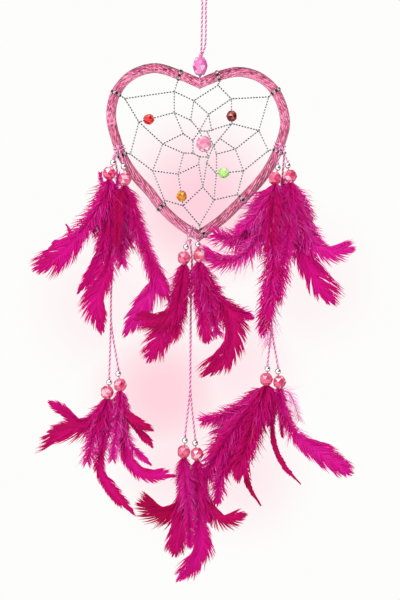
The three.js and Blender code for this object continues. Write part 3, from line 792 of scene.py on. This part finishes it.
# ---- plumes ----
# Dyed turkey and hackle feathers, four to twelve in a bunch, their quills glued up the pink bead.
# Each has downy barbs near the quill and closer, stiffer ones towards its tip.
PLUMES = {
    # path in mm from the quills, downy share, down's length, vane's width on each side, dye, depth
    "left_upper_a": [
        ([(-2, -11), (-8, -21), (-17, -33), (-29, -47), (-45, -59)], 0.55, 11, (6, 7), 0.5, -1),
        ([(-2, -20), (-4, -40), (-10, -59), (-20, -74)], 0.6, 9, (3.5, 3.5), 0.45, 2),
        ([(1, -17), (2, -40), (-2, -61), (-8, -79), (-5, -99)], 0.6, 10, (4.5, 6), 0.4, 0),
        ([(-4, -13), (-14, -28), (-22, -39), (-28, -31)], 0.7, 6, (2, 2), 0.6, -2),
        ([(-6, -17), (-18, -37), (-28, -42), (-34, -42), (-39, -45)], 0.6, 6, (2, 2.5), 0.55, 1),
        ([(-4, -11), (-9, -23), (-12, -33)], 1, 11, (3, 3), 0.45, 1),
        ([(-4, -3), (-6, 1), (-6, 4)], 1, 3, (3, 3), 0.7, 1),
        ([(4, -5), (6, -1), (6, 3)], 1, 4, (3, 3), 0.7, 1),
        ([(-0, -12), (-2, -28), (-4, -44)], 1, 10, (3, 3), 0.35, -1),
        ([(2, -13), (3, -30), (4, -48)], 1, 9, (3, 3), 0.6, 2),
    ],
    "left_upper_b": [
        ([(-2, -13), (-3, -31), (-2, -52)], 1, 10, (3, 3), 0.6, 1),
        ([(5, -13), (10, -31), (17, -49), (23, -64), (29, -75)], 0.75, 7, (4, 4), 0.5, 0),
        ([(3, -15), (10, -33), (17, -51), (20, -61), (14, -75), (1, -97)], 0.5, 8, (6, 5), 0.6, -1),
        ([(-3, -9), (-4, -23), (-5, -39)], 1, 6, (3, 3), 0.05, -3),
        ([(2, -8), (6, -19), (8, -32)], 1, 9, (3, 3), 0.3, -2),
        ([(1, -9), (1, -24), (3, -40)], 1, 10, (3, 3), 0.5, 2),
    ],
    "bottom_upper_a": [
        ([(-1, -14), (-4, -29), (-11, -42), (-22, -62)], 0.5, 8, (5, 6), 0.3, 0),
        ([(-1, -12), (-4, -27), (-12, -35), (-30, -38)], 0.35, 6, (5, 5), 0.15, -1),
        ([(-0, -13), (-2, -29), (-5, -44), (-11, -51)], 0.8, 7, (4, 4), 0.3, 1),
        ([(-1, -11), (-3, -21), (-5, -32)], 1, 9, (3, 3), 0.3, -1),
        ([(-3, -14), (-8, -30), (-15, -46)], 1, 9, (3, 3), 0.5, 1),
    ],
    "bottom_upper_b": [
        ([(3, -11), (9, -22), (19, -30), (35, -37)], 0.9, 8, (3, 3), 0.5, 1),
        ([(4, -12), (12, -24), (21, -35), (23, -48), (18, -62), (9, -73)], 0.4, 9, (5, 9), 0.2, 0),
        ([(0, -16), (2, -34), (5, -52)], 0.7, 7, (4, 4), 0.4, -1),
        ([(1, -10), (4, -22), (8, -34)], 1, 9, (3, 3), 0.25, 1),
        ([(-1, -11), (0, -26), (4, -40)], 1, 9, (3, 3), 0.45, -1),
        ([(5, -14), (13, -28), (21, -42)], 1, 10, (3, 3), 0.5, 1),
        ([(3, -14), (8, -30), (12, -48)], 1, 9, (3, 3), 0.6, -1),
    ],
    "right_upper_a": [
        ([(-4, -18), (-10, -34), (-21, -47), (-34, -51), (-46, -47)], 0.85, 12, (6, 9), 0.65, 0),
        ([(-7, -13), (-15, -24), (-23, -29), (-25, -35)], 0.8, 7, (2, 2), 0.6, -2),
        ([(-0, -20), (-1, -43), (-4, -70), (-8, -98)], 0.9, 11, (6, 6), 0.45, 1),
        ([(-2, -30), (-1, -51), (-3, -72), (-5, -88)], 0.9, 10, (4, 4), 0.5, -1),
        ([(-3, -10), (-6, -23), (-11, -35)], 1, 13, (3, 3), 0.5, 1),
        ([(-9, -14), (-20, -32), (-31, -36), (-40, -33)], 1, 12, (3, 3), 0.6, 1),
        ([(-6, -12), (-15, -26), (-26, -40)], 1, 14, (3, 3), 0.6, 2),
        ([(0, -50), (-3, -84), (-5, -106)], 1, 13, (3, 3), 1, 0),
        ([(4, -5), (6, -1), (5, 3)], 1, 4, (3, 3), 0.7, 1),
        ([(-1, -11), (-2, -27), (-2, -43)], 1, 13, (3, 3), 0.2, -2),
        ([(-6, -14), (-12, -29), (-20, -39)], 1, 10, (3, 3), 0.65, 2),
    ],
    "right_upper_b": [
        ([(5, -17), (9, -33), (20, -44), (39, -45)], 0.6, 10, (6, 5), 0.65, 0),
        ([(2, -19), (5, -40), (14, -60), (25, -78)], 0.5, 9, (8, 5), 0.45, 1),
        ([(-1, -15), (-1, -35), (-5, -57), (-9, -78)], 1, 10, (3, 3), 0.5, -1),
        ([(5, -9), (11, -19), (12, -31)], 1, 8, (3, 3), 0.35, 2),
        ([(1, -10), (3, -23), (5, -38)], 1, 10, (3, 3), 0.25, -1),
        ([(-3, -11), (-5, -29), (-7, -49)], 1, 10, (3, 3), 0.55, 1),
        ([(3, -14), (8, -27), (11, -41)], 1, 10, (3, 3), 0.6, 2),
        ([(4, -12), (10, -26), (18, -38)], 1, 10, (3, 3), 0.6, 1),
    ],
    "left_lower_a": [
        ([(-3, -10), (-11, -19), (-24, -20), (-37, -23)], 0.55, 9, (9, 4), 0.2, 0),
        ([(-6, -9), (-17, -16), (-27, -10), (-38, -3)], 0.5, 6, (3, 3), 0.4, 1),
        ([(-4, -13), (-9, -25), (-13, -42)], 1, 9, (3, 3), 0.6, -1),
        ([(0, -14), (-4, -32), (-5, -48), (3, -62), (17, -77)], 0.5, 7, (3.5, 2.5), 0.3, 1),
        ([(-3, -8), (-6, -17), (-10, -25)], 1, 9, (3, 3), 0.4, 1),
        ([(0, -9), (-1, -21), (-3, -33)], 1, 9, (3, 3), 0.45, -1),
    ],
    "left_lower_b": [
        ([(1, -14), (2, -30), (5, -45), (15, -55), (35, -57)], 0.5, 8, (4, 3), 0.5, 0),
        ([(4, -13), (11, -20), (21, -26)], 0.4, 4, (2.5, 2), 0.15, -1),
        ([(4, -14), (12, -26), (21, -37)], 0.4, 4, (2.5, 2), 0.15, 1),
        ([(-1, -14), (-3, -30), (-5, -45)], 1, 7, (3, 3), 0.65, -1),
        ([(2, -23), (7, -36), (20, -49)], 0.8, 5, (2, 2), 0.6, 1),
        ([(-0, -9), (1, -19), (1, -31)], 1, 8, (3, 3), 0.3, 1),
    ],
    "bottom_lower_a": [
        ([(0, -13), (-1, -29), (-10, -36), (-27, -31)], 0.45, 8, (6, 6), 0.0, 1),
        ([(-0, -16), (-2, -38), (-6, -63)], 0.4, 6, (5, 5), 0.3, 0),
        ([(2, -18), (4, -38), (4, -58)], 0.9, 8, (4, 4), 0.5, -1),
        ([(1, -11), (2, -24), (4, -37)], 1, 8, (3, 3), 0.6, -1),
        ([(-0, -12), (-0, -25), (0, -39)], 1, 7, (3, 3), 0.3, 1),
    ],
    "bottom_lower_b": [
        ([(0, -14), (1, -36), (3, -56), (-3, -69), (-10, -78)], 0.5, 9, (5, 6), 0.5, 0),
        ([(3, -13), (6, -26), (15, -38), (31, -37)], 0.4, 6, (4, 4), 0.15, 1),
        ([(1, -10), (4, -23), (7, -40)], 0.9, 7, (3, 3), 0.35, -1),
        ([(0, -10), (0, -24), (1, -38)], 1, 8, (3, 3), 0.45, 1),
    ],
    "right_lower_a": [
        ([(-6, -13), (-18, -26), (-31, -42), (-41, -62)], 0.95, 15, (5, 5), 0.5, 0),
        ([(-4, -13), (-11, -31), (-16, -48), (-19, -60)], 0.8, 13, (6, 5), 0.25, -2),
        ([(-7, -18), (-20, -40), (-30, -60), (-33, -78)], 0.95, 10, (3, 3), 0.5, 1),
        ([(-5, -20), (-14, -46), (-12, -66), (-4, -80)], 0.75, 5, (1.5, 1.5), 0.0, 2),
        ([(-7, -8), (-19, -16), (-34, -22), (-42, -24)], 1, 9, (3, 3), 0.55, 1),
        ([(-3, -11), (-11, -23), (-19, -34)], 1, 14, (3, 3), 0.2, 1),
        ([(-3, -12), (-8, -28), (-14, -43)], 1, 14, (3, 3), 0.05, -1),
        ([(-7, -12), (-18, -26), (-27, -37)], 1, 14, (3, 3), 0.55, 0),
        ([(-8, -15), (-19, -34), (-27, -54)], 1, 15, (3, 3), 0.4, 2),
        ([(-6, -10), (-18, -20), (-32, -32)], 1, 12, (3, 3), 0.6, 2),
        ([(-5, -14), (-13, -32), (-22, -55)], 1, 14, (3, 3), 0.3, 1),
        ([(-9, -14), (-22, -30), (-33, -46)], 1, 14, (3, 3), 0.5, -1),
    ],
    "right_lower_b": [
        ([(-4, -18), (-4, -35), (3, -52), (14, -64)], 0.4, 3, (1.3, 1.3), 0.15, 1),
        ([(2, -13), (9, -29), (23, -41), (45, -56)], 0.45, 8, (6, 5), 0.6, 0),
        ([(6, -3), (10, -11), (13, -22)], 1, 7, (2, 2), 1, -1),
        ([(-0, -9), (1, -21), (2, -32)], 0.9, 3, (2, 2), 0.3, 1),
        ([(0, -8), (3, -16), (6, -24)], 1, 6, (3, 3), 0.4, 1),
        ([(-2, -8), (-5, -16), (-6, -24)], 1, 5, (3, 3), 0.2, -1),
    ],
}
FLAT_Y, FLAT_HALF = -2.2 * MM, 17 * MM  # a bunch's middle, front to back, and the most it stands off
DOWN_GAP, VANE_GAP = 0.24, 0.34  # mm from barb to barb along the shaft
DOWN_R, STRAY_R, VANE_R = 0.3, 0.16, 0.36  # mm, half a barb's width, drawn wide so that it shows
FULL_BUNCH = 8.5  # a bunch of more feathers than this is drawn with fewer and wider barbs
FLAT = [(1.0, 0.0), (0.0, 0.22), (-1.0, 0.0), (0.0, -0.22)]  # a barb's section, a thin lens
BARB_STEPS = np.array([0.0, 0.22, 0.48, 0.76, 1.0])
DOWN_TAPER = np.array([1.0, 0.9, 0.75, 0.5, 0.15])
VANE_TAPER = np.array([0.8, 1.0, 0.95, 0.7, 0.12])


def plume(root, path, downy, down, vane, dye_and_painted_light, depth, crowd, rng):
    """The strands of one feather: its shaft, then barbs down both sides. In a crowded bunch they
    are drawn fewer and thicker."""
    wispy = dye_and_painted_light >= 1  # a pale one, of few and thin barbs
    bow = rng.uniform(-2.5, 2.5) + depth * 1.5
    points = [Vector((0, 0, 1.5)), Vector((0, 0, -1))]
    for i, (x, z) in enumerate(path):
        u = (i + 1) / len(path)
        points.append(Vector((x, depth * 1.2 * min(1, 2 * u) + bow * math.sin(2.6 * u), z)))
    line = smooth([root + p * MM for p in points], 1.0 * MM)
    way = lengths(line)
    full = way[-1]
    t = tangents(line)
    strands = [(line, np.linspace(0.5, 0.1, len(line)) * MM, np.full(len(line), 0.1 + 0.6 * dye_and_painted_light))]
    for side, width in ((1, vane[0]), (-1, vane[1])):
        s = 1.0 * MM
        lock, lock_end = 0.0, 0.0
        while s < full:
            u = s / full
            p = np.array([np.interp(s, way, line[:, k]) for k in range(3)])
            d = np.array([np.interp(s, way, t[:, k]) for k in range(3)])
            out = np.array((-d[2], 0, d[0])) * side
            out /= np.linalg.norm(out)
            soft = min(1.0, max(0.0, (downy - u) * 6 + 0.5))
            if s > lock_end:  # barbs of a vane cling in locks, with a split between two of them
                lock, lock_end = rng.uniform(-7, 9), s + rng.uniform(2, 8) * MM
            grown = min(1.0, 0.55 + 3.5 * u) * (1 - 0.3 * u)
            close = min(1.0, (1 - u) / 0.2)  # barbs lie along the shaft towards its tip
            stray = soft > 0.5 and rng.random() < 0.05
            fluffy = down * grown * rng.uniform(0.6, 1.5) * (1.4 if stray else 1.0)
            sleek = width * (0.3 + 0.7 * close) * rng.uniform(0.75, 1.2) * 2.7
            length = (soft * fluffy + (1 - soft) * sleek) * MM
            start = math.radians(soft * rng.uniform(35, 80) + (1 - soft) * (16 + 32 * close + lock * 0.5))
            finish = math.radians(soft * rng.uniform(-5, 58)
                                  + (1 - soft) * (3 + 12 * close + lock + rng.uniform(-6, 6)))
            lift = rng.gauss(0, 0.45) * soft + (0.08 * side + rng.uniform(-0.05, 0.05)) * (1 - soft)
            fall = soft * rng.uniform(0.0, 0.35)
            at, barb = p.copy(), [p.copy()]
            for last, v in zip(BARB_STEPS, BARB_STEPS[1:]):
                a = start + (finish - start) * v
                step = (math.cos(a) * d + math.sin(a) * out) * (1 - fall * v) + np.array((0, lift, -fall * v))
                at = at + step / np.linalg.norm(step) * length * (v - last)
                barb.append(at.copy())
            thick = (soft * (STRAY_R if stray else DOWN_R) + (1 - soft) * VANE_R) * MM
            thick *= (0.5 if wispy else 1.0) * crowd
            radii = thick * (soft * DOWN_TAPER + (1 - soft) * VANE_TAPER)
            # Each barb's tone carries painted light and shade. It is paler towards its tip, as painted light
            # through the thin tips, and darker on the first quarter of the feather, as painted shade where
            # the bunch crowds. A stray barb is paler too.
            shade = (dye_and_painted_light + rng.uniform(-0.14, 0.14) + (0.22 * soft + 0.04) * BARB_STEPS ** 2
                     - 0.4 * max(0, 0.25 - u) + (0.3 if stray else 0))
            strands.append((np.array(barb), radii, shade))
            gap = (soft * DOWN_GAP + (1 - soft) * VANE_GAP) * MM * rng.uniform(0.7, 1.3)
            s += gap * (3 if wispy else 1) * crowd
    return strands


# Turkey down and hackle, dyed through: matt, lets light through, and clouded where the dye is deep.
dyed_plume, tree, shader, ramp = dyed("dyed_magenta_plume", [
    (0.0, "#cc0c58"), (0.3, "#e61086"), (0.6, "#f016a8"), (0.85, "#f844c8"), (1.0, "#fc9ae2")], 0.75,
    Specular_IOR_Level=0.08)
cloud = add(tree, "ShaderNodeTexNoise", {
    "Vector": add(tree, "ShaderNodeTexCoord").outputs["Object"], "Scale": 70.0, "Detail": 3.0})
shaded = add(tree, "ShaderNodeMix", {
    "Factor": add(tree, "ShaderNodeMapRange", {
        "Value": cloud.outputs[0], "From Min": 0.5, "From Max": 0.72, "To Max": 0.5}).outputs[0],
    "A": ramp.outputs[0], "B": linear("#de0c62")}, data_type="RGBA")
tree.links.new(shaded.outputs["Result"], shader.inputs["Base Color"])
through = add(tree, "ShaderNodeBsdfTranslucent", {"Color": shaded.outputs["Result"]})
tree.links.new(add(tree, "ShaderNodeMixShader", {
    0: 0.4, 1: shader.outputs[0], 2: through.outputs[0],
}).outputs[0], tree.nodes["Material Output"].inputs["Surface"])

for number, tassel in enumerate(TASSELS):
    rng = random.Random(100 + number)
    low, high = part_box(tassel + "_pink_bead")
    root = Vector(((low.x + high.x) / 2, (low.y + high.y) / 2, low.z))  # the foot of the pink bead
    crowd = max(1.0, len(PLUMES[tassel]) / FULL_BUNCH)
    strands = []
    for path, downy, down, vane, dye_and_painted_light, depth in PLUMES[tassel]:
        strands += plume(root, path, downy, down, vane, dye_and_painted_light, depth, crowd, rng)
    for points, _, _ in strands:  # packed flat against each other, front to back
        points[:, 1] = FLAT_Y + FLAT_HALF * np.tanh((points[:, 1] - FLAT_Y) / FLAT_HALF)
    bunch = lay_strands(tassel + "_plumes", strands, FLAT, dyed_plume)
    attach(bunch, tassel + "_tassel")
    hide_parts(tassel + "_feathers")

low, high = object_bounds()
